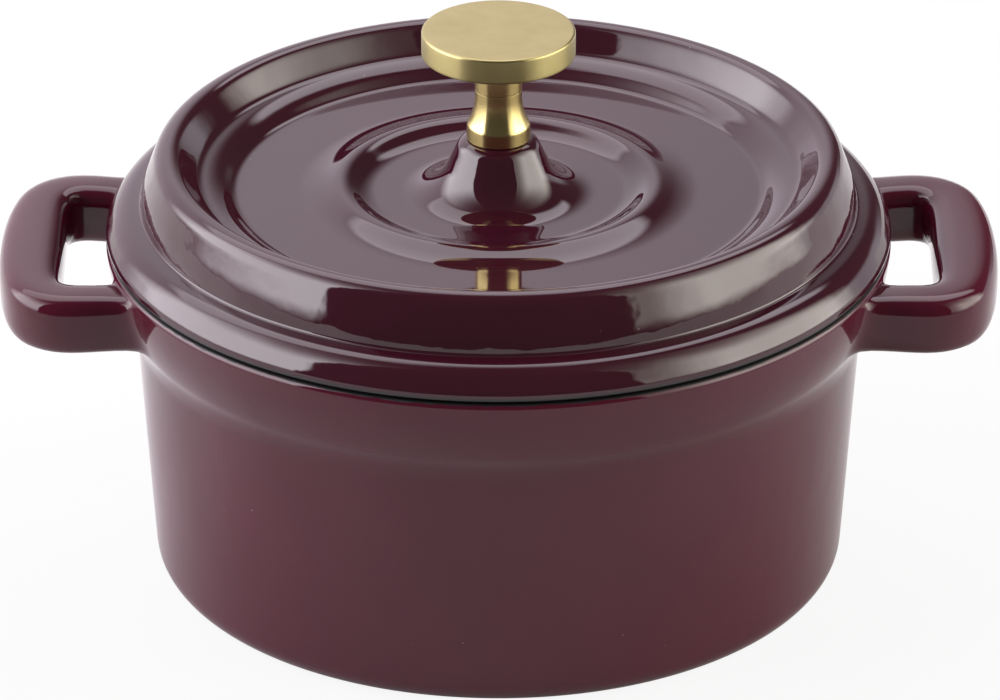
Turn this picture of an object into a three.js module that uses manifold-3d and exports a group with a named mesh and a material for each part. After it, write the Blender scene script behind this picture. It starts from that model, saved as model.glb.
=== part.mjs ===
// Mini cocotte: an enamelled cast-iron pot with two loop handles, a loose lid and a brass knob.
// Sizes are in millimetres. The base rests on z = 0, up is +Z and the handles lie along X.
import * as THREE from 'three';
import { mergeVertices } from 'three/addons/utils/BufferGeometryUtils.js';
import Module from 'manifold-3d';

const wasm = await Module();
wasm.setup();

// Pot body and rim
const rimInnerDiameter = 100;
const rimWall = 3.8;
const rimEdgeRounding = 0.9;
const potHeight = 48.2;
const potWall = 3.6;
const potFloor = 4.2;
const potBaseRounding = 3.4;
const potInnerRounding = 6.5;
const bodyTaper = 2.5;

// Flared collar below the rim
const collarHeight = 11.9;
const collarFlare = 4;
const collarBulgeDrop = 7;
const collarBulgeInset = 0.9;
const collarCreaseRounding = 3.2;
const collarBulgeRounding = 3;

// Loop handles
const handleReach = 14.5;
const handleWidth = 43;
const handleThickness = 8.3;
const handleDrop = 0.6;
const handleEndBar = 8.9;
const handleSideBar = 7.3;
const handleEndBow = 1.3;
const handleCornerRounding = 9.5;
const handleGapRounding = 4;
const handleEdgeRounding = 3;
const handleRootFlare = 5;

// Lid seat and flange
const lidSeatGap = 0.3;
const flangeThickness = 4.4;
const flangeTopRounding = 2.4;
const flangeBottomRounding = 0.9;
const flangeTopSlope = 0.4;
const flangeWidth = 4.9;
const lipDepth = 2.9;
const lipWall = 2.6;
const lipClearance = 0.8;
const lipRounding = 0.9;

// Lid wall, crest and ledge
const beadHeight = 0.9;
const beadWidth = 1.5;
const beadRounding = 0.6;
const crestHeight = 12.3;
const crestWidth = 2.6;
const crestLean = 1;
const crestRounding = 1.3;
const crestFlankWidth = 2.9;
const ledgeDrop = 3.7;
const ledgeWidth = 2.5;
const ledgeSlope = 0.6;
const ledgeFlankWidth = 2.5;
const ledgeRounding = 1;

// Lid plate, ridge and boss
const plateHeight = 6.4;
const lidWall = 3.6;
const ridgeRadius = 21.3;
const ridgeWidth = 7.2;
const ridgeHeight = 1.4;
const ridgeRounding = 1.7;
const centreDrop = 0.4;
const bossHeight = 7.8;
const bossTopRadius = 4.6;
const bossFootRadius = 8.8;
const bossTopRounding = 0.9;
const bossFootRounding = 4;
const hollowDepth = 3.6;
const hollowRounding = 2.5;
const wellRadius = 6.6;
const wellDepth = 2.9;

// Brass knob
const knobFaceGap = 0.1;
const knobCollarHeight = 7.1;
const knobCollarBand = 2.2;
const knobCollarRadius = 4.2;
const knobCollarTaper = 0.25;
const knobNeckRadius = 3.3;
const knobNeckHeight = 5.1;
const knobHeadRadius = 10.45;
const knobHeadThickness = 3.5;
const knobHeadChamfer = 0.4;

// Screw and washers under the lid
const screwRadius = 2;
const screwClearance = 0.3;
const screwGrip = 6.4;
const screwTipGap = 0.6;
const screwTipChamfer = 0.5;
const screwHeadRadius = 4;
const screwHeadHeight = 2.6;
const screwHeadRounding = 1.2;
const crossLength = 4.6;
const crossWidth = 0.9;
const crossDepth = 1.5;
const flatWasherRadius = 4.5;
const flatWasherThickness = 0.8;
const lockWasherRadius = 3.8;
const lockWasherThickness = 1;
const lockWasherSplit = 0.7;
const lockWasherSplitAngle = 0.35;

// How finely round shapes are divided
const castingSegments = 64;
const turnedSegments = 36;
const roundingSteps = 2;
const handleCurveSteps = 4;
const overcut = 2;

// Radii and heights that follow from the sizes above
const rimInnerRadius = rimInnerDiameter / 2;
const rimRadius = rimInnerRadius + rimWall;
const creaseRadius = rimRadius - collarFlare;
const baseRadius = creaseRadius - bodyTaper;
const creaseZ = potHeight - collarHeight;
const bulgeZ = potHeight - collarBulgeDrop;
const bulgeRadius = rimRadius - collarBulgeInset;
const handleTopZ = potHeight - handleDrop;
const handleEndX = rimRadius + handleReach;
const seatZ = potHeight + lidSeatGap;
const flangeTopZ = seatZ + flangeThickness;
const wallFootRadius = rimRadius - flangeWidth;
const crestFootRadius = wallFootRadius - beadWidth;
const crestRadius = crestFootRadius - crestLean;
const crestInnerRadius = crestRadius - crestWidth;
const crestZ = seatZ + crestHeight;
const ledgeZ = crestZ - ledgeDrop;
const ledgeRadius = crestInnerRadius - crestFlankWidth;
const ledgeInnerRadius = ledgeRadius - ledgeWidth;
const plateRadius = ledgeInnerRadius - ledgeFlankWidth;
const plateZ = seatZ + plateHeight;
const centreZ = plateZ - centreDrop;
const undersideZ = plateZ - lidWall;
const bossZ = centreZ + bossHeight;
const wellZ = undersideZ + wellDepth;
const boreRadius = screwRadius + screwClearance;
const lipRadius = rimInnerRadius - lipClearance;
const lipInnerRadius = lipRadius - lipWall;
const collarFootZ = bossZ + knobFaceGap;
const collarTopZ = collarFootZ + knobCollarHeight;
const neckZ = collarTopZ + knobFaceGap;
const headZ = neckZ + knobNeckHeight;
const headTopZ = headZ + knobHeadThickness;
const flatWasherTopZ = wellZ - knobFaceGap;
const flatWasherZ = flatWasherTopZ - flatWasherThickness;
const lockWasherTopZ = flatWasherZ - knobFaceGap;
const lockWasherZ = lockWasherTopZ - lockWasherThickness;
const screwHeadTopZ = lockWasherZ - knobFaceGap;
const screwHeadZ = screwHeadTopZ - screwHeadHeight;
const screwTipZ = neckZ + screwGrip;

// Draws straight runs between corners [radius, height, rounding] and rounds off each inner corner.
function roundedOutline(corners) {
  const points = corners.map(([x, y]) => new THREE.Vector2(x, y));
  const path = new THREE.Path();
  path.moveTo(points[0].x, points[0].y);
  for (let i = 1; i < points.length - 1; i += 1) {
    const corner = points[i];
    const back = points[i - 1].clone().sub(corner);
    const ahead = points[i + 1].clone().sub(corner);
    const rounding = corners[i][2] ?? 0;
    const reach = Math.min(rounding, back.length() / 2, ahead.length() / 2);
    const start = corner.clone().add(back.setLength(reach));
    const end = corner.clone().add(ahead.setLength(reach));
    path.lineTo(start.x, start.y);
    if (reach > 0) {
      path.quadraticCurveTo(corner.x, corner.y, end.x, end.y);
    }
  }
  const last = points[points.length - 1];
  path.lineTo(last.x, last.y);
  return path.getPoints(roundingSteps);
}

// Turns an outline about the Z axis.
function turned(corners, segments) {
  const geometry = new THREE.LatheGeometry(roundedOutline(corners), segments);
  return solidOf(geometry.rotateX(Math.PI / 2));
}

// Makes a solid body from a closed surface, leaving out the slivers where it meets the axis.
function solidOf(geometry) {
  geometry.deleteAttribute('normal');
  geometry.deleteAttribute('uv');
  const merged = mergeVertices(geometry);
  const source = merged.index ? merged.index.array : [...merged.attributes.position.array.keys()];
  const triangles = [];
  for (let i = 0; i < source.length; i += 3) {
    const [a, b, c] = [source[i], source[i + 1], source[i + 2]];
    if (a !== b && b !== c && c !== a) {
      triangles.push(a, b, c);
    }
  }
  const mesh = new wasm.Mesh({
    numProp: 3,
    vertProperties: merged.attributes.position.array,
    triVerts: Uint32Array.from(triangles),
  });
  return new wasm.Manifold(mesh);
}

// Turns a solid body back into a named mesh with its own finish.
function piece(name, solid, finish) {
  const mesh = solid.getMesh();
  const geometry = new THREE.BufferGeometry();
  geometry.setAttribute('position', new THREE.BufferAttribute(mesh.vertProperties, 3));
  geometry.setIndex(new THREE.BufferAttribute(mesh.triVerts, 1));
  geometry.computeVertexNormals();
  const made = new THREE.Mesh(geometry, new THREE.MeshStandardMaterial(finish));
  made.name = name;
  return made;
}

// Outside of the pot as a full body, from the base up to the rim.
function potOutside() {
  return turned([
    [0, 0],
    [baseRadius, 0, potBaseRounding],
    [creaseRadius, creaseZ, collarCreaseRounding],
    [bulgeRadius, bulgeZ, collarBulgeRounding],
    [rimRadius, potHeight, rimEdgeRounding],
    [0, potHeight],
  ], castingSegments);
}

// Hollow of the pot, which opens out to the rim's inner radius inside the collar.
function potHollow() {
  return turned([
    [0, potFloor],
    [baseRadius - potWall, potFloor, potInnerRounding],
    [creaseRadius - potWall, creaseZ, collarCreaseRounding],
    [rimInnerRadius, bulgeZ, collarBulgeRounding],
    [rimInnerRadius, potHeight + overcut],
    [0, potHeight + overcut],
  ], castingSegments);
}

// Plan of a loop handle on the +X side, with its roots sunk into the pot's wall.
function handlePlan() {
  const half = handleWidth / 2;
  const rootAngle = Math.asin(half / rimRadius);
  const flareAngle = rootAngle + handleRootFlare / rimRadius;
  const flareX = rimRadius * Math.cos(flareAngle);
  const flareY = rimRadius * Math.sin(flareAngle);
  const rootX = rimRadius * Math.cos(rootAngle);
  const deepX = flareX - 4 * handleEdgeRounding;
  const endX = handleEndX - handleEndBow;
  const plan = new THREE.Shape();
  plan.moveTo(deepX, -flareY);
  plan.lineTo(flareX, -flareY);
  plan.quadraticCurveTo(rootX, -half, rootX + handleRootFlare, -half);
  plan.lineTo(endX - handleCornerRounding, -half);
  plan.quadraticCurveTo(endX, -half, endX, -half + handleCornerRounding);
  plan.quadraticCurveTo(handleEndX + handleEndBow, 0, endX, half - handleCornerRounding);
  plan.quadraticCurveTo(endX, half, endX - handleCornerRounding, half);
  plan.lineTo(rootX + handleRootFlare, half);
  plan.quadraticCurveTo(rootX, half, flareX, flareY);
  plan.lineTo(deepX, flareY);
  plan.closePath();
  plan.holes.push(handleGap(deepX + 3 * handleEdgeRounding));
  return plan;
}

// Finger gap of a handle. Its inner side lies inside the pot's wall.
function handleGap(innerX) {
  const half = handleWidth / 2 - handleSideBar;
  const outerX = handleEndX - handleEndBar;
  const gap = new THREE.Path();
  gap.moveTo(innerX, -half);
  gap.lineTo(innerX, half);
  gap.lineTo(outerX - handleGapRounding, half);
  gap.quadraticCurveTo(outerX, half, outerX, half - handleGapRounding);
  gap.lineTo(outerX, -half + handleGapRounding);
  gap.quadraticCurveTo(outerX, -half, outerX - handleGapRounding, -half);
  gap.closePath();
  return gap;
}

// One handle with rounded edges, at its height on the pot.
function handle(turn) {
  const geometry = new THREE.ExtrudeGeometry(handlePlan(), {
    depth: handleThickness - 2 * handleEdgeRounding,
    bevelEnabled: true,
    bevelThickness: handleEdgeRounding,
    bevelSize: handleEdgeRounding,
    bevelOffset: -handleEdgeRounding,
    bevelSegments: roundingSteps,
    curveSegments: handleCurveSteps,
  });
  geometry.translate(0, 0, handleTopZ - handleThickness + handleEdgeRounding);
  return solidOf(geometry.rotateZ(turn));
}

// Pot: body, collar, rim and both handles cast in one.
function pot() {
  return potOutside().add(handle(0)).add(handle(Math.PI)).subtract(potHollow());
}

// Lid: lip, flange, bead, crest, ledge, plate, ridge and boss, with a bore for the screw.
function lid() {
  const lipZ = seatZ - lipDepth;
  const hollowRadius = ledgeRadius + crestLean;
  const beadZ = flangeTopZ + flangeTopSlope + beadHeight;
  const start = [boreRadius, wellZ];
  return turned([
    start,
    [wellRadius, wellZ],
    [wellRadius, undersideZ],
    [plateRadius, undersideZ, hollowRounding],
    [hollowRadius, undersideZ + hollowDepth, hollowRounding],
    [lipInnerRadius, undersideZ, hollowRounding],
    [lipInnerRadius, lipZ, lipRounding],
    [lipRadius, lipZ, lipRounding],
    [lipRadius, seatZ],
    [rimRadius, seatZ, flangeBottomRounding],
    [rimRadius, flangeTopZ, flangeTopRounding],
    [wallFootRadius, flangeTopZ + flangeTopSlope, beadRounding],
    [wallFootRadius, beadZ, beadRounding],
    [crestFootRadius, beadZ + flangeTopSlope, beadRounding],
    [crestRadius, crestZ, crestRounding],
    [crestInnerRadius, crestZ, crestRounding],
    [ledgeRadius, ledgeZ, ledgeRounding],
    [ledgeInnerRadius, ledgeZ - ledgeSlope, ledgeRounding],
    [plateRadius, plateZ, ledgeRounding],
    [ridgeRadius + ridgeWidth / 2, plateZ, ridgeRounding],
    [ridgeRadius, plateZ + ridgeHeight, ridgeRounding],
    [ridgeRadius - ridgeWidth / 2, centreZ, ridgeRounding],
    [bossFootRadius, centreZ, bossFootRounding],
    [bossTopRadius, bossZ, bossTopRounding],
    [boreRadius, bossZ],
    start,
  ], castingSegments);
}

// Flared brass ferrule that stands on the boss.
function knobCollar() {
  const bandZ = collarFootZ + knobCollarBand;
  const flareZ = (bandZ + collarTopZ) / 2;
  const start = [boreRadius, collarFootZ];
  return turned([
    start,
    [knobCollarRadius - knobCollarTaper, collarFootZ],
    [knobCollarRadius, bandZ, knobCollarTaper],
    [knobNeckRadius, flareZ, knobCollarHeight],
    [knobNeckRadius, collarTopZ],
    [boreRadius, collarTopZ],
    start,
  ], turnedSegments);
}

// Brass head: a flat disc with the upper part of the neck and a blind bore for the screw.
function knobHead() {
  const boreTopZ = screwTipZ + screwTipGap;
  return turned([
    [0, boreTopZ],
    [boreRadius, boreTopZ],
    [boreRadius, neckZ],
    [knobNeckRadius, neckZ],
    [knobNeckRadius, headZ],
    [knobHeadRadius - knobHeadChamfer, headZ],
    [knobHeadRadius, headZ + knobHeadChamfer],
    [knobHeadRadius, headTopZ - knobHeadChamfer],
    [knobHeadRadius - knobHeadChamfer, headTopZ],
    [0, headTopZ],
  ], turnedSegments);
}

// Machine screw with a domed head below and a cross recess to drive it.
function knobScrew() {
  const body = turned([
    [0, screwHeadZ],
    [screwHeadRadius, screwHeadZ, screwHeadRounding],
    [screwHeadRadius, screwHeadTopZ],
    [screwRadius, screwHeadTopZ],
    [screwRadius, screwTipZ - screwTipChamfer],
    [screwRadius - screwTipChamfer, screwTipZ],
    [0, screwTipZ],
  ], turnedSegments);
  return body.subtract(crossBar(0)).subtract(crossBar(Math.PI / 2));
}

// One bar of the cross recess in the screw's head.
function crossBar(turn) {
  const bar = new THREE.BoxGeometry(crossLength, crossWidth, 2 * crossDepth);
  return solidOf(bar.rotateZ(turn).translate(0, 0, screwHeadZ));
}

// Plain washer that bears on the lid.
function flatWasher() {
  return ring(flatWasherRadius, flatWasherZ, flatWasherTopZ);
}

// Spring washer, split on one side with a slanting cut.
function lockWasher() {
  const cut = new THREE.BoxGeometry(2 * lockWasherRadius, lockWasherSplit, 3 * lockWasherThickness);
  cut.rotateX(lockWasherSplitAngle);
  cut.translate(lockWasherRadius, 0, (lockWasherZ + lockWasherTopZ) / 2);
  return ring(lockWasherRadius, lockWasherZ, lockWasherTopZ).subtract(solidOf(cut));
}

// Flat ring around the screw.
function ring(radius, bottomZ, topZ) {
  const start = [boreRadius, bottomZ];
  return turned([start, [radius, bottomZ], [radius, topZ], [boreRadius, topZ], start], turnedSegments);
}

const enamel = { color: 0x4a1c29, roughness: 0.16, metalness: 0 };
const satinBrass = { color: 0xc4ae74, roughness: 0.42, metalness: 1 };
const polishedBrass = { color: 0xd9bf78, roughness: 0.14, metalness: 1 };
const steel = { color: 0xb9bcc0, roughness: 0.3, metalness: 1 };

const cocotte = new THREE.Group();
cocotte.name = 'mini_cocotte';
cocotte.add(piece('pot', pot(), enamel));
cocotte.add(piece('lid', lid(), enamel));
cocotte.add(piece('knob_collar', knobCollar(), polishedBrass));
cocotte.add(piece('knob_head', knobHead(), satinBrass));
cocotte.add(piece('knob_screw', knobScrew(), steel));
cocotte.add(piece('flat_washer', flatWasher(), steel));
cocotte.add(piece('lock_washer', lockWasher(), steel));

export default cocotte;
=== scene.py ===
# %% [markdown]
# # A mini cocotte in aubergine enamel
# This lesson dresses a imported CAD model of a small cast-iron pot with a lid and a brass knob.
# The CAD model is the frame: it fixes every size and how the lid moves. The pieces made here are
# finer copies of its castings and turned parts, with the finish that enamel and brass really have.

# %% Load the frame
import math

import bmesh
import bpy
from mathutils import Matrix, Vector


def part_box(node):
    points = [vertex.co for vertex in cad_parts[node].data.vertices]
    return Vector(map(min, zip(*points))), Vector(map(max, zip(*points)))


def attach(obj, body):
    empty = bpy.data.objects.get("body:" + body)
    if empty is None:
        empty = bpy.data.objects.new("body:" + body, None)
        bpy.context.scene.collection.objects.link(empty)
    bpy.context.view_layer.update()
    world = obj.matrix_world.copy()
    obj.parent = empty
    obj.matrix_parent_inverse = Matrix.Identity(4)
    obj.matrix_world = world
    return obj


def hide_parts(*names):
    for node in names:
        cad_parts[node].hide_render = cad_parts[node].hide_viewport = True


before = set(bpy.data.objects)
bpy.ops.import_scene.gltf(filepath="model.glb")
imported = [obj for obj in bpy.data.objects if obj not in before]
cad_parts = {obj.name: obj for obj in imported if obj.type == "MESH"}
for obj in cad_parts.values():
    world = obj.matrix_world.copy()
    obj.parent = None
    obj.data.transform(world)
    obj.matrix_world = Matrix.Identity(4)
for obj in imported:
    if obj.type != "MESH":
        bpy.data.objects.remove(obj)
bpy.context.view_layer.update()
MM = 0.001

# %% [markdown]
# ## Outlines that are turned on a wheel
# The pot, the lid and the knob are round, so each one is drawn as half a section and spun about
# the upright axis. Casting and turning leave no sharp corners. A corner is therefore written as
# radius, height and rounding in millimetres, and a vertex bevel cuts it into a short arc.
# Subdivision afterwards makes the arcs flow, which matters because glossy enamel shows every kink.
# Where a rounding has to stay tight, a holding point is put close to it on the straight run beside it.

# %% Draw and spin an outline
def hold_straight(bm, edge, hold):
    """Puts a point near both ends of a straight run, so that the roundings beside it stay tight."""
    length = edge.calc_length()
    if length > 4 * hold:
        _, near = bmesh.utils.edge_split(edge, edge.verts[0], hold / length)
        rest = max(near.link_edges, key=lambda link: link.calc_length())
        bmesh.utils.edge_split(rest, rest.other_vert(near), hold / rest.calc_length())


def draw_outline(bm, corners, closed, longest=7.0, segments=2, hold=0.0):
    """Draws a rounded section as a wire in the XZ plane."""
    points = [bm.verts.new((radius * MM, 0, height * MM)) for radius, height, _ in corners]
    ends = points[1:] + points[:1] if closed else points[1:]
    for here, ahead in zip(points, ends):
        bm.edges.new((here, ahead))
    for point, (_, _, rounding) in zip(points, corners):
        if rounding:
            bmesh.ops.bevel(
                bm, geom=[point], offset=rounding * MM, offset_type="OFFSET",
                segments=segments + int(rounding), profile=0.5, affect="VERTICES", material=-1,
                clamp_overlap=True)
    if hold:
        for edge in list(bm.edges):
            hold_straight(bm, edge, hold * MM)
    for edge in list(bm.edges):
        cuts = int(edge.calc_length() / (longest * MM))
        if cuts:
            bmesh.ops.subdivide_edges(bm, edges=[edge], cuts=cuts)


def spin_outline(bm, steps):
    """Spins the wire a full turn about Z and closes its seam and poles."""
    bmesh.ops.spin(
        bm, geom=bm.verts[:] + bm.edges[:], cent=(0, 0, 0), axis=(0, 0, 1),
        angle=math.tau, steps=steps, use_merge=True)
    bmesh.ops.remove_doubles(bm, verts=bm.verts, dist=0.002 * MM)
    bmesh.ops.recalc_face_normals(bm, faces=bm.faces)


def finish_piece(bm, name, levels):
    """Turns the bmesh into a smooth object at the origin."""
    for face in bm.faces:
        face.smooth = True
    mesh = bpy.data.meshes.new(name)
    bm.to_mesh(mesh)
    bm.free()
    piece = bpy.data.objects.new(name, mesh)
    bpy.context.scene.collection.objects.link(piece)
    if levels:
        flow = piece.modifiers.new("flow", "SUBSURF")
        flow.levels = levels
        flow.render_levels = levels
    print(name, "has", len(mesh.polygons), "faces before subdivision")
    return piece

# %% [markdown]
# ## The pot's section
# The pot is one casting: a slightly tapered body, a flared collar and a flat rim for the lid.
# Its outline runs from the middle of the base, up the outside, over the rim and down the inside.
# The heights of the collar's rows are chosen so that the handles can grow out of them later.

# %% Pot sizes from the frame
_, pot_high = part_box("pot")
_, lid_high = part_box("lid")
RIM_RADIUS = lid_high.x / MM
POT_HEIGHT = pot_high.z / MM
RIM_WALL = 3.8
RIM_INNER = RIM_RADIUS - RIM_WALL
BODY_TOP = RIM_RADIUS - 4.0
BODY_BASE = BODY_TOP - 2.5
BODY_WALL = 3.6
FLOOR = 4.2
CREASE = POT_HEIGHT - 11.9
LEG_ROWS = (POT_HEIGHT - 9.0, POT_HEIGHT - 4.7, POT_HEIGHT - 0.9)
print("rim radius", round(RIM_RADIUS, 2), "pot height", round(POT_HEIGHT, 2))

# %% Spin the pot
pot_bm = bmesh.new()
draw_outline(pot_bm, [
    (0, 0, 0),
    (BODY_BASE - 4.2, 0, 0),
    (BODY_BASE, 0, 3.0),
    (BODY_BASE + 0.3, 4.2, 0),
    (BODY_TOP, CREASE, 2.2),
    (RIM_RADIUS - 2.2, LEG_ROWS[0], 0),
    (RIM_RADIUS - 0.6, LEG_ROWS[1], 0),
    (RIM_RADIUS - 0.15, LEG_ROWS[2], 0),
    (RIM_RADIUS - 0.1, POT_HEIGHT, 0.75),
    (RIM_INNER, POT_HEIGHT, 0.9),
    (RIM_INNER, POT_HEIGHT - 6.5, 2.0),
    (BODY_TOP - BODY_WALL, CREASE, 2.4),
    (BODY_BASE - BODY_WALL, FLOOR, 6.0),
    (0, FLOOR, 0),
], closed=False, longest=8.0)
POT_STEPS = 96
spin_outline(pot_bm, POT_STEPS)
print("pot rings spun:", len(pot_bm.verts) // POT_STEPS)

# %% [markdown]
# ## The loop handles
# Each handle is cast in one with the collar, so its legs have to swell out of the wall without a
# seam. Joining two meshes would leave a hard line. Here four collar faces are removed where a leg
# starts, the open edge is extruded along the loop, and the last ring is bridged to the second leg.
# Subdivision then rounds the bar and makes the fillets at the roots by itself. The loop is written
# as places of the bar's inner and outer side in plan, from the root to the middle of the end bar.

# %% Rings of one handle
STEP_ANGLE = math.tau / POT_STEPS
LEG_ANGLES = (4 * STEP_ANGLE, 6 * STEP_ANGLE)
HANDLE_TOP = POT_HEIGHT - 0.6
HANDLE_THICKNESS = 8.3
LOOP_RINGS = (
    ((55.8, 13.9), (55.5, 21.6)),
    ((57.6, 14.2), (60.6, 21.7)),
    ((59.2, 13.0), (65.4, 18.5)),
    ((59.5, 9.4), (67.4, 12.6)),
    ((59.4, 3.6), (68.3, 4.6)),
)


def leg_faces(bm, side, turn):
    """Finds the collar faces where one leg of a handle starts."""
    found = []
    for face in bm.faces:
        middle = face.calc_center_median()
        angle = math.atan2(turn * side * middle.y, side * middle.x)
        outside = middle.xy.length > (RIM_RADIUS - 2.0) * MM
        level = LEG_ROWS[0] * MM < middle.z < LEG_ROWS[2] * MM
        if outside and level and LEG_ANGLES[0] < angle < LEG_ANGLES[1]:
            found.append(face)
    return found


def open_leg(bm, side, turn):
    """Removes one leg's faces and returns the edges around the hole."""
    faces = leg_faces(bm, side, turn)
    rim = {edge for face in faces for edge in face.edges}
    rim = [edge for edge in rim if sum(face in faces for face in edge.link_faces) == 1]
    bmesh.ops.delete(bm, geom=faces, context="FACES")
    return rim


def ring_place(column, row, inner, outer, side, turn):
    """Point of a ring: column runs across the bar, row from its underside to its top."""
    across = (column + 1) / 2
    x = inner[0] + across * (outer[0] - inner[0])
    y = inner[1] + across * (outer[1] - inner[1])
    z = HANDLE_TOP - HANDLE_THICKNESS / 2 + row * HANDLE_THICKNESS / 2
    return Vector((side * x, side * turn * y, z)) * MM

# %% Grow the handles
def ring_spot(vert, side, turn):
    """Column and row, each -1, 0 or 1, of a vertex at the leg's root."""
    angle = math.atan2(turn * side * vert.co.y, side * vert.co.x)
    middle_angle = (LEG_ANGLES[0] + LEG_ANGLES[1]) / 2
    column = round((angle - middle_angle) / STEP_ANGLE)
    row = min((-1, 0, 1), key=lambda spot: abs(vert.co.z - LEG_ROWS[spot + 1] * MM))
    return column, row


def extrude_ring(bm, edges, spots, places):
    """Extrudes an open ring and moves each new vertex to its place."""
    grown = bmesh.ops.extrude_edge_only(bm, edges=edges)["geom"]
    verts = [item for item in grown if isinstance(item, bmesh.types.BMVert)]
    new_edges = [item for item in grown if isinstance(item, bmesh.types.BMEdge)]
    new_spots = {}
    for vert in verts:
        below = min(spots, key=lambda old: (old.co - vert.co).length)
        new_spots[vert] = spots[below]
    for vert, spot in new_spots.items():
        vert.co = places(*spot)
    ring = [edge for edge in new_edges if all(vert in new_spots for vert in edge.verts)]
    return ring, new_spots


def grow_half(bm, side, turn):
    """Grows one leg and half of the end bar, and returns its open ring."""
    ring = open_leg(bm, side, turn)
    spots = {vert: ring_spot(vert, side, turn) for edge in ring for vert in edge.verts}
    for inner, outer in LOOP_RINGS:
        def places(column, row, inner=inner, outer=outer):
            return ring_place(column, row, inner, outer, side, turn)
        ring, spots = extrude_ring(bm, ring, spots, places)
    return ring


for side in (1, -1):
    halves = grow_half(pot_bm, side, 1) + grow_half(pot_bm, side, -1)
    bmesh.ops.bridge_loops(pot_bm, edges=halves)
bmesh.ops.recalc_face_normals(pot_bm, faces=pot_bm.faces)
print("handles grown; open edges left:", sum(edge.is_boundary for edge in pot_bm.edges))

# %% [markdown]
# ## Where the enamel changes
# The outside is glossy aubergine enamel. The rim and the inside have a matt black one. The line
# between them is painted by hand on the real pot, so it wavers. A number is stored on each vertex,
# 1 for black and 0 for aubergine, and the material later breaks up the border between the two.
# The rim's outer edge gets a value in between, so that the border wanders along it.

# %% Mark the black enamel
BLACK_MARK = "black_enamel"
RIM_EDGE_SHARE = 0.45


def mark_black(bm, is_black):
    """Stores how black the enamel is on each vertex, from its radius and height."""
    layer = bm.verts.layers.float.new(BLACK_MARK)
    for vert in bm.verts:
        vert[layer] = float(is_black(vert.co.xy.length / MM, vert.co.z / MM))


def pot_is_black(radius, height):
    """Is 1 on the rim and the inside, and in between on the rim's outer edge."""
    on_rim = height > POT_HEIGHT - 0.3 and radius < RIM_RADIUS - 0.5
    rim_edge = height > POT_HEIGHT - 0.4 and radius < RIM_RADIUS - 0.2
    wall_middle = BODY_BASE - BODY_WALL / 2 + 2.5 * height / CREASE
    inside = radius < wall_middle and height > FLOOR / 2 and height < CREASE
    collar_inside = height >= CREASE - 0.5 and radius < BODY_TOP - BODY_WALL / 2
    flare_inside = height > CREASE + 3.0 and radius < RIM_INNER + 0.6
    if on_rim or inside or collar_inside or flare_inside:
        return 1.0
    return RIM_EDGE_SHARE if rim_edge else 0.0


mark_black(pot_bm, pot_is_black)
print("black enamel marked on the rim and the inside")

# %% [markdown]
# ## Where the glaze ran
# Wet glaze runs down upright walls and leaves them slightly wavy, while level faces dry flat. A
# second number on each vertex says how upright the surface is. The casting is then complete.

# %% Mark the upright walls and make the pot
UPRIGHT_MARK = "upright_wall"


def mark_upright(bm):
    """Stores how steep the surface is, from 0 on level faces to 1 on walls."""
    bm.normal_update()
    layer = bm.verts.layers.float.new(UPRIGHT_MARK)
    for vert in bm.verts:
        vert[layer] = vert.normal.xy.length ** 2


mark_upright(pot_bm)
pot = finish_piece(pot_bm, "pot_casting", 2)

# %% [markdown]
# ## The lid
# The lid is a second casting. From the rim inwards it has a rounded flange, a tall crest with a steep
# foot, a ledge, a flat plate with one soft ridge, and a bell-shaped boss for the knob. Below there is
# a lip that keeps it in place on the pot. All of it is round, so one section is enough. It starts at
# the screw's hole, runs outwards along the underside and comes back over the top.

# %% Lid sizes and section
SEAT = POT_HEIGHT + 0.3
PLATE = SEAT + 6.4
CENTRE = PLATE - 0.4
UNDERSIDE = PLATE - 3.6
CREST = lid_high.z / MM - 1.5
BORE = 2.3
LIP = RIM_INNER - 0.8
LID_SECTION = [
    # Screw's well and the underside
    (BORE, UNDERSIDE + 2.9, 0.2),
    (6.6, UNDERSIDE + 2.9, 0.4),
    (7.0, UNDERSIDE, 0.8),
    (35.6, UNDERSIDE, 2.5),
    (42.5, UNDERSIDE + 3.6, 2.5),
    (LIP - 2.6, UNDERSIDE, 2.0),
    # Lip and seat
    (LIP - 2.4, SEAT - 2.9, 0.8),
    (LIP, SEAT - 2.9, 0.8),
    (LIP, SEAT, 0.4),
    (RIM_RADIUS - 0.3, SEAT, 0.3),
    # Flange
    (RIM_RADIUS, SEAT + 0.9, 0.6),
    (RIM_RADIUS - 1.9, SEAT + 4.0, 1.4),
    (RIM_RADIUS - 4.9, SEAT + 4.5, 0.3),
    # Crest, with its steep foot
    (RIM_RADIUS - 5.1, SEAT + 6.5, 1.6),
    (RIM_RADIUS - 7.4, CREST, 1.5),
    (RIM_RADIUS - 9.9, CREST - 0.3, 0.6),
    # Ledge and plate
    (RIM_RADIUS - 12.9, CREST - 3.8, 0.6),
    (RIM_RADIUS - 15.3, CREST - 4.1, 1.3),
    (RIM_RADIUS - 17.7, PLATE, 0.5),
    # Ridge and boss
    (25.4, PLATE, 1.6),
    (21.2, PLATE + 1.4, 1.1),
    (18.1, CENTRE, 1.1),
    (8.9, CENTRE, 4.0),
    (5.2, CENTRE + 7.8, 1.0),
    (BORE, CENTRE + 7.8, 0.2),
]

# %% Spin the lid
lid_bm = bmesh.new()
draw_outline(lid_bm, LID_SECTION, closed=True, longest=5.0, segments=3, hold=0.3)
LID_STEPS = 96
spin_outline(lid_bm, LID_STEPS)
mark_black(lid_bm, lambda radius, height: height < SEAT + 0.35 or radius < BORE + 0.3)
mark_upright(lid_bm)
print("lid rings spun:", len(lid_bm.verts) // LID_STEPS)
lid = finish_piece(lid_bm, "lid_casting", 1)

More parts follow.
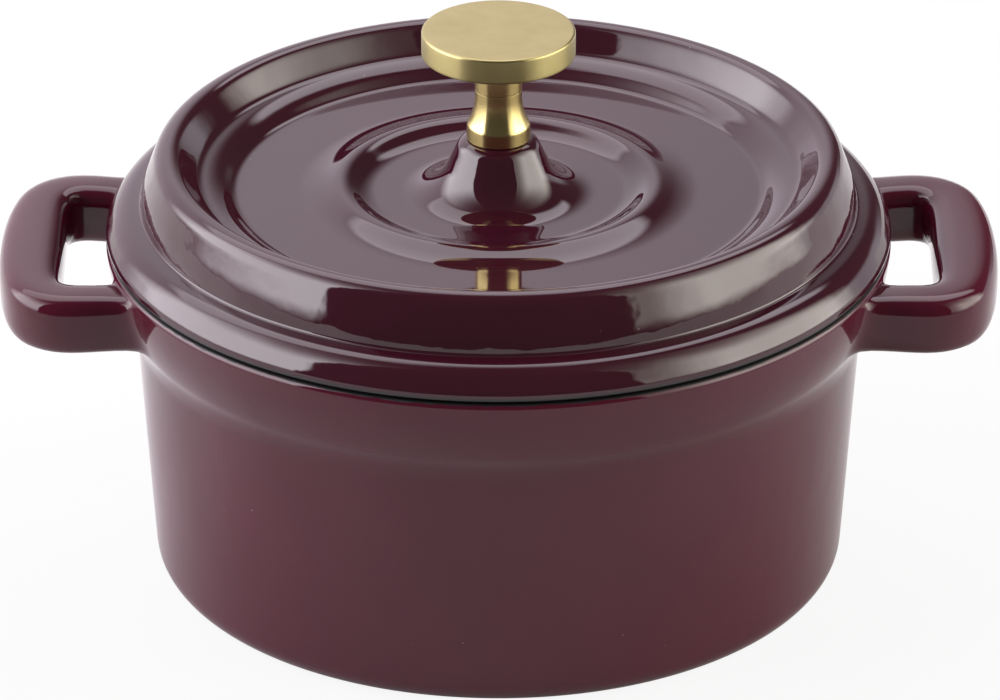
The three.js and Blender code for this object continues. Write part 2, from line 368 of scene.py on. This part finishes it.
# %% [markdown]
# ## The knob
# Two turned brass pieces stand on the boss: a flared collar that is polished bright, and a flat head
# with the upper part of the neck. Lathe tools leave crisp edges with a tiny chamfer, so the roundings
# here are much smaller than on the castings. The head's faces are sorted by material: level ones, the
# outer edge and the neck each get a finish of their own.

# %% Turn the collar
collar_low, collar_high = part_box("knob_collar")
NECK = 3.3
COLLAR = collar_high.x / MM


def turn_section(section, closed, steps, segments):
    """Spins a section with crisp corners, as a lathe leaves them."""
    bm = bmesh.new()
    draw_outline(bm, section, closed=closed, longest=3.0, segments=segments, hold=0.08)
    spin_outline(bm, steps)
    return bm


foot = collar_low.z / MM
top = collar_high.z / MM
knob_collar = finish_piece(turn_section([
    (BORE, foot, 0.1),
    (COLLAR + 0.2, foot, 0.15),
    (COLLAR + 0.15, foot + 2.0, 0.2),
    (NECK - 0.1, foot + 4.1, 2.0),
    (NECK - 0.1, top + 0.08, 0.03),
    (BORE, top, 0.1),
], closed=True, steps=64, segments=8), "knob_ferrule", 1)

# %% Turn the head
head_low, head_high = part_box("knob_head")
HEAD = head_high.x / MM
neck_foot = head_low.z / MM
head_top = head_high.z / MM
head_foot = head_top - 3.5
knob_head_bm = turn_section([
    (0, head_foot + 1.7, 0),
    (BORE, head_foot + 1.7, 0.2),
    (BORE, neck_foot, 0.1),
    (NECK - 0.1, neck_foot, 0.05),
    (NECK, head_foot, 0.4),
    (HEAD, head_foot, 0.3),
    (HEAD, head_top, 0.3),
    (0, head_top, 0),
], closed=False, steps=96, segments=3)
LEVEL_FINISH, EDGE_FINISH, NECK_FINISH = range(3)
for face in knob_head_bm.faces:
    on_neck = face.calc_center_median().xy.length < (NECK + 0.3) * MM
    upright_finish = NECK_FINISH if on_neck else EDGE_FINISH
    face.material_index = LEVEL_FINISH if abs(face.normal.z) > 0.7 else upright_finish
knob_head = finish_piece(knob_head_bm, "knob_disc", 1)

# %% [markdown]
# ## The fixing under the lid
# A steel screw with a domed head and two washers holds the knob. They are small but they show when
# the lid is lifted, so the frame's own solids stay and only get a steel finish further down.
#
# The other pieces are now handed to the frame. Each one rides on the body that carries it, so the lid
# takes its knob along when it lifts or turns, and each one takes the place of its CAD solid.

# %% Ride on the frame's bodies
for piece, body, node, slot in (
    (pot, "pot", "pot", "enamel"),
    (lid, "lid", "lid", "enamel"),
    (knob_collar, "lid", "knob_collar", "polished_brass"),
    (knob_head, "lid", "knob_head", "satin_brass"),
):
    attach(piece, body)
    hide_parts(node)
    print(piece.name, "rides on", body)

# %% [markdown]
# ## Node helpers
# Each finish is a small node tree around one Principled shader. Patterns read Object coordinates,
# which are metres in the frame, so a scale of 1000 gives about one cell per millimetre.

# %% Start a material
def start_material(name):
    """Makes a material and returns it with its nodes, links and shader."""
    material = bpy.data.materials.new(name)
    material.use_nodes = True
    tree = material.node_tree
    return material, tree.nodes, tree.links, tree.nodes["Principled BSDF"]


def add_node(nodes, kind, **settings):
    """Adds a node and sets its sockets or properties by name."""
    node = nodes.new(kind)
    for key, value in settings.items():
        if key in node.inputs:
            node.inputs[key].default_value = value
        else:
            setattr(node, key, value)
    return node


def noise(nodes, links, scale, detail=2.0):
    """Noise in Object coordinates."""
    place = add_node(nodes, "ShaderNodeTexCoord")
    texture = add_node(nodes, "ShaderNodeTexNoise", Scale=scale, Detail=detail)
    links.new(place.outputs["Object"], texture.inputs["Vector"])
    return texture


def ramp(nodes, links, source, stops):
    """Colour ramp on a value, from stops of (position, colour)."""
    node = add_node(nodes, "ShaderNodeValToRGB")
    while len(node.color_ramp.elements) < len(stops):
        node.color_ramp.elements.new(0.5)
    for element, (position, colour) in zip(node.color_ramp.elements, stops):
        element.position = position
        element.color = (*colour, 1.0)
    links.new(source, node.inputs["Fac"])
    return node

# %% [markdown]
# ## Enamel
# Enamel is coloured glass on iron. The glass gives a sharp reflection that grows towards grazing
# angles, and the colour below it is deep and nearly even. Firing leaves gentle waves on upright walls,
# where the glass ran, and they tear the edges of reflections. Level faces dry flat, so the wave's
# strength reads the upright mark. A few pale specks are dust on the glaze. The black enamel of the
# rim and the inside is rough. Pot and lid share the recipe and the lid shines more. The pot's tones
# are painted lighter than the lid's, as painted light for the bounce and fill light that falls on the
# body.

# %% Black parts and dust
BLACK_TONE = (0.010, 0.009, 0.010, 1.0)
DUST_TONE = (0.30, 0.24, 0.26, 1.0)
BORDER_WAVER = 0.7
BORDER_STOPS = ((0.80, (0.0, 0.0, 0.0)), (0.84, (1.0, 1.0, 1.0)))
SPECK_STOPS = ((0.014, (1.0, 1.0, 1.0)), (0.022, (0.0, 0.0, 0.0)))


def black_share(nodes, links):
    """Is 1 on black enamel and 0 on aubergine, with a border that wavers."""
    mark = add_node(nodes, "ShaderNodeAttribute", attribute_name=BLACK_MARK)
    waver = noise(nodes, links, 420.0, 3.0)
    border = add_node(nodes, "ShaderNodeMath", operation="MULTIPLY_ADD")
    border.inputs[1].default_value = BORDER_WAVER
    links.new(waver.outputs["Fac"], border.inputs[0])
    links.new(mark.outputs["Fac"], border.inputs[2])
    return ramp(nodes, links, border.outputs["Value"], BORDER_STOPS).outputs["Color"]


def speck_share(nodes, links):
    """Is 1 on a few tiny specks of dust."""
    place = add_node(nodes, "ShaderNodeTexCoord")
    grit = add_node(nodes, "ShaderNodeTexVoronoi", Scale=210.0)
    links.new(place.outputs["Object"], grit.inputs["Vector"])
    return ramp(nodes, links, grit.outputs["Distance"], SPECK_STOPS).outputs["Color"]


def paint_over(nodes, links, under, tone, share):
    """Lays a tone over a colour where the share is 1."""
    paint = add_node(nodes, "ShaderNodeMix", data_type="RGBA")
    paint.inputs["B"].default_value = tone
    links.new(share, paint.inputs["Factor"])
    links.new(under, paint.inputs["A"])
    return paint.outputs["Result"]

# %% Waves in the glaze
RIPPLE_SHARE = 0.1


def glaze_waves(nodes, links, depth):
    """Normals of the glaze, with waves where the surface is upright."""
    wave = noise(nodes, links, 120.0, 1.0)
    ripple = noise(nodes, links, 520.0, 1.0)
    height = add_node(nodes, "ShaderNodeMath", operation="MULTIPLY_ADD")
    height.inputs[1].default_value = RIPPLE_SHARE
    links.new(ripple.outputs["Fac"], height.inputs[0])
    links.new(wave.outputs["Fac"], height.inputs[2])
    bump = add_node(nodes, "ShaderNodeBump", Distance=depth * MM)
    upright = add_node(nodes, "ShaderNodeAttribute", attribute_name=UPRIGHT_MARK)
    links.new(upright.outputs["Fac"], bump.inputs["Strength"])
    links.new(height.outputs["Value"], bump.inputs["Height"])
    return bump.outputs["Normal"]

# %% Enamel the castings
GLASS_IOR = 1.5
GLAZE_ROUGHNESS = {"To Min": 0.04, "To Max": 0.5}


def enamel_material(name, tones, shine, wave_depth):
    """Glossy enamel in two close tones, black and matt where the mark says so."""
    material, nodes, links, shader = start_material(name)
    clouds = noise(nodes, links, 60.0, 3.0)
    colour = ramp(nodes, links, clouds.outputs["Fac"], ((0.3, tones[0]), (0.7, tones[1])))
    black = black_share(nodes, links)
    painted = paint_over(nodes, links, colour.outputs["Color"], BLACK_TONE, black)
    dusted = paint_over(nodes, links, painted, DUST_TONE, speck_share(nodes, links))
    links.new(dusted, shader.inputs["Base Color"])
    gloss = add_node(nodes, "ShaderNodeMapRange", **GLAZE_ROUGHNESS)
    links.new(black, gloss.inputs["Value"])
    links.new(gloss.outputs["Result"], shader.inputs["Roughness"])
    links.new(glaze_waves(nodes, links, wave_depth), shader.inputs["Normal"])
    shader.inputs["IOR"].default_value = GLASS_IOR
    shader.inputs["Specular IOR Level"].default_value = shine
    return material


# The pot's tones are painted lighter than the lid's: painted light for the bounce and fill light on the
# body.
POT_TONES_PAINTED_LIGHTER = ((0.063, 0.0046, 0.0152), (0.072, 0.0058, 0.0181))
LID_TONES = ((0.034, 0.0043, 0.0107), (0.039, 0.0053, 0.0128))
pot.data.materials.append(enamel_material("pot_enamel", POT_TONES_PAINTED_LIGHTER, shine=0.54, wave_depth=0.08))
lid.data.materials.append(enamel_material("lid_enamel", LID_TONES, shine=0.77, wave_depth=0.22))
print("enamelled:", pot.name, "and", lid.name)

# %% [markdown]
# ## Brass and steel
# Turned metal keeps fine rings around its axis. They come from noise that reads only the radius and
# the height. The rings also stretch highlights across themselves, which the shader's anisotropy
# gives with a tangent that runs around the axis. The top of the knob is satin, its edge is turned
# and more brushed, and the neck and the ferrule are polished.

# %% Marks of the lathe
def turning_rings(nodes, links):
    """Noise that reads only the radius and the height."""
    place = add_node(nodes, "ShaderNodeTexCoord")
    split = add_node(nodes, "ShaderNodeSeparateXYZ")
    links.new(place.outputs["Object"], split.inputs["Vector"])
    flat = add_node(nodes, "ShaderNodeCombineXYZ")
    links.new(split.outputs["X"], flat.inputs["X"])
    links.new(split.outputs["Y"], flat.inputs["Y"])
    radius = add_node(nodes, "ShaderNodeVectorMath", operation="LENGTH")
    links.new(flat.outputs["Vector"], radius.inputs[0])
    around = add_node(nodes, "ShaderNodeCombineXYZ")
    links.new(radius.outputs["Value"], around.inputs["X"])
    links.new(split.outputs["Z"], around.inputs["Z"])
    rings = add_node(nodes, "ShaderNodeTexNoise", Scale=6000.0, Detail=3.0)
    links.new(around.outputs["Vector"], rings.inputs["Vector"])
    return rings.outputs["Fac"]

# %% Turned metal
GRAIN = (0.96, 1.04)
QUARTER_TURN = 0.25


def metal_material(name, tones, roughness, ring_depth, brushed):
    """Turned metal in two close tones, with rings and highlights that stretch across them."""
    material, nodes, links, shader = start_material(name)
    rings = turning_rings(nodes, links)
    cloud = noise(nodes, links, 300.0, 4.0)
    colour = ramp(nodes, links, cloud.outputs["Fac"], ((0.3, tones[0]), (0.7, tones[1])))
    links.new(colour.outputs["Color"], shader.inputs["Base Color"])
    grain = add_node(nodes, "ShaderNodeMapRange")
    grain.inputs["To Min"].default_value = GRAIN[0] * roughness
    grain.inputs["To Max"].default_value = GRAIN[1] * roughness
    links.new(rings, grain.inputs["Value"])
    links.new(grain.outputs["Result"], shader.inputs["Roughness"])
    bump = add_node(nodes, "ShaderNodeBump", Strength=0.5, Distance=ring_depth * MM)
    links.new(rings, bump.inputs["Height"])
    links.new(bump.outputs["Normal"], shader.inputs["Normal"])
    shader.inputs["Metallic"].default_value = 1.0
    shader.inputs["Anisotropic"].default_value = brushed
    shader.inputs["Anisotropic Rotation"].default_value = QUARTER_TURN
    around_axis = add_node(nodes, "ShaderNodeTangent", direction_type="RADIAL", axis="Z")
    links.new(around_axis.outputs["Tangent"], shader.inputs["Tangent"])
    return material

# %% Dress the knob and its fixing
SATIN_TONES = ((0.45, 0.385, 0.165), (0.51, 0.435, 0.2))
POLISHED_TONES = ((0.72, 0.585, 0.24), (0.80, 0.65, 0.28))
STEEL_TONES = ((0.60, 0.61, 0.62), (0.69, 0.70, 0.71))
satin = metal_material("satin_knob_top", SATIN_TONES, 0.3, ring_depth=0.001, brushed=0.1)
turned = metal_material("turned_knob_edge", SATIN_TONES, 0.32, ring_depth=0.001, brushed=0.95)
polished = metal_material("polished_neck", POLISHED_TONES, 0.24, ring_depth=0.001, brushed=0.92)
for finish in (satin, turned, polished):
    knob_head.data.materials.append(finish)
knob_collar.data.materials.append(polished)
steel = metal_material("plain_steel", STEEL_TONES, 0.28, ring_depth=0.01, brushed=0.4)
for node in ("knob_screw", "flat_washer", "lock_washer"):
    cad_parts[node].data.materials.clear()
    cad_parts[node].data.materials.append(steel)
print("finishes:", [material.name for material in bpy.data.materials])

# %% [markdown]
# ## Table
# The pot stands on a pale table top that shows white but keeps a soft shadow. White paint under bright
# lamps would also work, but those lamps would wash out the enamel. Here the table is plain grey-white,
# and rays from the camera find an even white mixed in. A painted shade makes it a little greyer in
# front of the pot, so that the middle of the wall, which mirrors that part, is deeper in tone than its
# flanks.
# At the back left a painted light makes it lighter, which brightens the left flank.

# %% White that only some rays see
def mix_white(nodes, links, plain, white, seen_share, mirrored_share):
    """Mixes white in for rays from the camera and, by a smaller share, for mirrored rays."""
    path = add_node(nodes, "ShaderNodeLightPath")
    share = None
    for ray, amount in (
        ("Is Camera Ray", seen_share),
        ("Is Glossy Ray", mirrored_share),
        ("Is Transmission Ray", mirrored_share),
    ):
        part = add_node(nodes, "ShaderNodeMath", operation="MULTIPLY")
        part.inputs[1].default_value = amount
        links.new(path.outputs[ray], part.inputs[0])
        if share:
            larger = add_node(nodes, "ShaderNodeMath", operation="MAXIMUM")
            links.new(share.outputs["Value"], larger.inputs[0])
            links.new(part.outputs["Value"], larger.inputs[1])
            part = larger
        share = part
    mix = add_node(nodes, "ShaderNodeMixShader")
    links.new(share.outputs["Value"], mix.inputs["Fac"])
    links.new(plain, mix.inputs[1])
    links.new(white, mix.inputs[2])
    return mix.outputs["Shader"]

# %% Pale table top
TABLE_WHITE = 0.9
MIRRORED_WHITE = 0.1
TABLE_SIZE = 1.6
TABLE_FRONT = -0.45
# Painted shade on the table in front of the pot, and painted light at its back left.
PAINTED_FRONT_SHADE = {"From Min": -0.10, "From Max": -0.02, "To Min": 0.72, "To Max": 1.0}
PAINTED_LEFT_LIGHT = {"From Min": 0.04, "From Max": 0.10, "To Min": 1.0, "To Max": 1.25}
TO_BACK = (0, 1, 0)
TO_BACK_LEFT = (-1, 0.6, 0)


def shade_along(nodes, links, direction, shade):
    """A factor that changes along a direction of the table top."""
    place = add_node(nodes, "ShaderNodeTexCoord")
    along = add_node(nodes, "ShaderNodeVectorMath", operation="DOT_PRODUCT")
    along.inputs[1].default_value = direction
    links.new(place.outputs["Object"], along.inputs[0])
    factor = add_node(nodes, "ShaderNodeMapRange", **shade)
    links.new(along.outputs["Value"], factor.inputs["Value"])
    return factor.outputs["Result"]


def table_material():
    """Pale paint that shows white to the camera and keeps the shadow."""
    material, nodes, links, shader = start_material("pale_table")
    grain = noise(nodes, links, 40.0, 4.0)
    colour = ramp(nodes, links, grain.outputs["Fac"], (
        (0.3, (0.70, 0.70, 0.70)), (0.7, (0.72, 0.72, 0.72))))
    tone = colour.outputs["Color"]
    # Painted shade towards the front and painted light towards the back left of the table top.
    for direction, shade in ((TO_BACK, PAINTED_FRONT_SHADE), (TO_BACK_LEFT, PAINTED_LEFT_LIGHT)):
        scaled = add_node(nodes, "ShaderNodeVectorMath", operation="SCALE")
        links.new(tone, scaled.inputs[0])
        links.new(shade_along(nodes, links, direction, shade), scaled.inputs["Scale"])
        tone = scaled.outputs["Vector"]
    links.new(tone, shader.inputs["Base Color"])
    shader.inputs["Roughness"].default_value = 0.9
    glow = add_node(nodes, "ShaderNodeEmission", Strength=1.0)
    surface = mix_white(
        nodes, links, shader.outputs["BSDF"], glow.outputs["Emission"],
        TABLE_WHITE, MIRRORED_WHITE)
    links.new(surface, nodes["Material Output"].inputs["Surface"])
    return material


table_bm = bmesh.new()
bmesh.ops.create_grid(table_bm, x_segments=2, y_segments=2, size=TABLE_SIZE)
bmesh.ops.translate(table_bm, verts=table_bm.verts, vec=(0, TABLE_SIZE + TABLE_FRONT, 0))
table = finish_piece(table_bm, "table_top", 0)
table.data.materials.append(table_material())

# %% [markdown]
# ## Studio light
# Glossy enamel is a mirror, so its look comes from what stands where in the studio. A real studio hangs
# white panels in a dark room. Panels could be meshes, but here they are soft patches drawn in the
# world, by their angles around the pot and above the table. A tall cool panel stands on the left and a
# warm one on the right, and a dimmer one gives the right panel a crisp inner edge. Behind the pot hangs
# a grey screen that fades to the right, with a faint glow beside it and a bright soft box above it.
# The camera's side stays dark, so walls that face it have dark middles and bright flanks. Beyond the
# table the camera sees plain white, and mirrored rays see a small share of that white.

# %% Helpers for the studio world
world = bpy.data.worlds.new("studio")
bpy.context.scene.world = world
world.use_nodes = True
world_nodes = world.node_tree.nodes
world_links = world.node_tree.links
direction = add_node(world_nodes, "ShaderNodeTexCoord")
axes = add_node(world_nodes, "ShaderNodeSeparateXYZ")
world_links.new(direction.outputs["Generated"], axes.inputs["Vector"])


def calculate(operation, first, second):
    """Adds a Math node for two values, each a number or an output of another node."""
    node = add_node(world_nodes, "ShaderNodeMath", operation=operation)
    for socket, value in zip(node.inputs, (first, second)):
        if isinstance(value, float):
            socket.default_value = value
        else:
            world_links.new(value, socket)
    return node.outputs["Value"]


def between(value, low, high, soft):
    """Is 1 between two values and falls softly to 0 towards them."""
    sides = []
    for start, end in ((low, low + soft[0]), (high, high - soft[1])):
        side = add_node(world_nodes, "ShaderNodeMapRange", interpolation_type="SMOOTHSTEP")
        side.inputs["From Min"].default_value = start
        side.inputs["From Max"].default_value = end
        world_links.new(value, side.inputs["Value"])
        sides.append(side.outputs["Result"])
    return calculate("MULTIPLY", *sides)

# %% Draw one panel
to_front = calculate("MULTIPLY", axes.outputs["Y"], -1.0)
from_front = calculate("ARCTAN2", axes.outputs["X"], to_front)
from_back = calculate("ARCTAN2", axes.outputs["X"], axes.outputs["Y"])


def panel(turn, turns, heights, colour, strength, turn_soft, height_soft):
    """A white panel seen from the pot, by its angles in degrees around it and above the table."""
    across = between(turn, *map(math.radians, turns), turn_soft)
    low, high = (math.sin(math.radians(height)) for height in heights)
    upright = between(axes.outputs["Z"], low, high, height_soft)
    light = add_node(world_nodes, "ShaderNodeBackground", Color=(*colour, 1.0))
    shape = calculate("MULTIPLY", across, upright)
    world_links.new(calculate("MULTIPLY", shape, strength), light.inputs["Strength"])
    return light.outputs["Background"]

# %% Hang the panels in a dark room
WHITE = (1.0, 1.0, 1.0, 1.0)
DARK_ROOM = 0.03
background = world_nodes["Background"]
background.inputs["Color"].default_value = WHITE
background.inputs["Strength"].default_value = DARK_ROOM
lit = background.outputs["Background"]
COOL = (1.0, 0.96, 1.02)
WARM = (1.0, 0.96, 0.88)
GREY_SCREEN = (1.05, 0.96, 1.06)
PALE_GLOW = (0.98, 0.97, 1.06)
SOFT_BOX = (1.02, 0.96, 1.03)
panels = (
    panel(from_front, (-134, -56), (-6, 85), COOL, 5.7, (0.35, 0.06), (0.3, 0.5)),
    panel(from_front, (41, 85), (-6, 85), WARM, 1.5, (0.04, 0.6), (0.25, 0.65)),
    panel(from_front, (46, 125), (-6, 85), WARM, 5.0, (0.5, 0.35), (0.25, 0.65)),
    panel(from_back, (-62, 22), (-20, 42), GREY_SCREEN, 1.14, (0.2, 0.5), (0.1, 0.1)),
    panel(from_back, (22, 85), (-14, 18), PALE_GLOW, 0.9, (0.3, 0.3), (0.1, 0.15)),
    panel(from_back, (-58, 42), (36, 84), SOFT_BOX, 2.4, (0.2, 0.2), (0.06, 0.08)),
)
for light in panels:
    both = add_node(world_nodes, "ShaderNodeAddShader")
    world_links.new(lit, both.inputs[0])
    world_links.new(light, both.inputs[1])
    lit = both.outputs["Shader"]
print("studio panels hung:", len(panels))

# %% White beyond the table
BACKDROP_SEEN = 1.0
BACKDROP_MIRRORED = 0.05
backdrop = add_node(world_nodes, "ShaderNodeBackground", Color=WHITE, Strength=1.0)
room = mix_white(
    world_nodes, world_links, lit, backdrop.outputs["Background"],
    BACKDROP_SEEN, BACKDROP_MIRRORED)
world_links.new(room, world_nodes["World Output"].inputs["Surface"])
print("world nodes:", len(world_nodes))

# %% [markdown]
# ## Camera
# The photograph was taken from well away with a long lens, about 26 degrees above the table.
# Lens and distance were fitted to the outlines, so the render can be laid over the photograph.

# %% Place the camera
IMAGE_WIDTH = 1000
FOCAL_PIXELS = 7987
DISTANCE = 1.1
ELEVATION = math.radians(25.98)
AIM = Vector((0.0002, 0.0, 0.03015))
camera_data = bpy.data.cameras.new("camera")
camera_data.sensor_width = 36.0
camera_data.lens = camera_data.sensor_width * FOCAL_PIXELS / IMAGE_WIDTH
camera = bpy.data.objects.new("camera", camera_data)
camera.location = AIM + DISTANCE * Vector((0, -math.cos(ELEVATION), math.sin(ELEVATION)))
camera.rotation_euler = (AIM - camera.location).to_track_quat("-Z", "Y").to_euler()
bpy.context.scene.collection.objects.link(camera)
bpy.context.scene.camera = camera
bpy.context.scene.view_settings.view_transform = "Standard"
print("camera stands at", [round(place, 3) for place in camera.location])
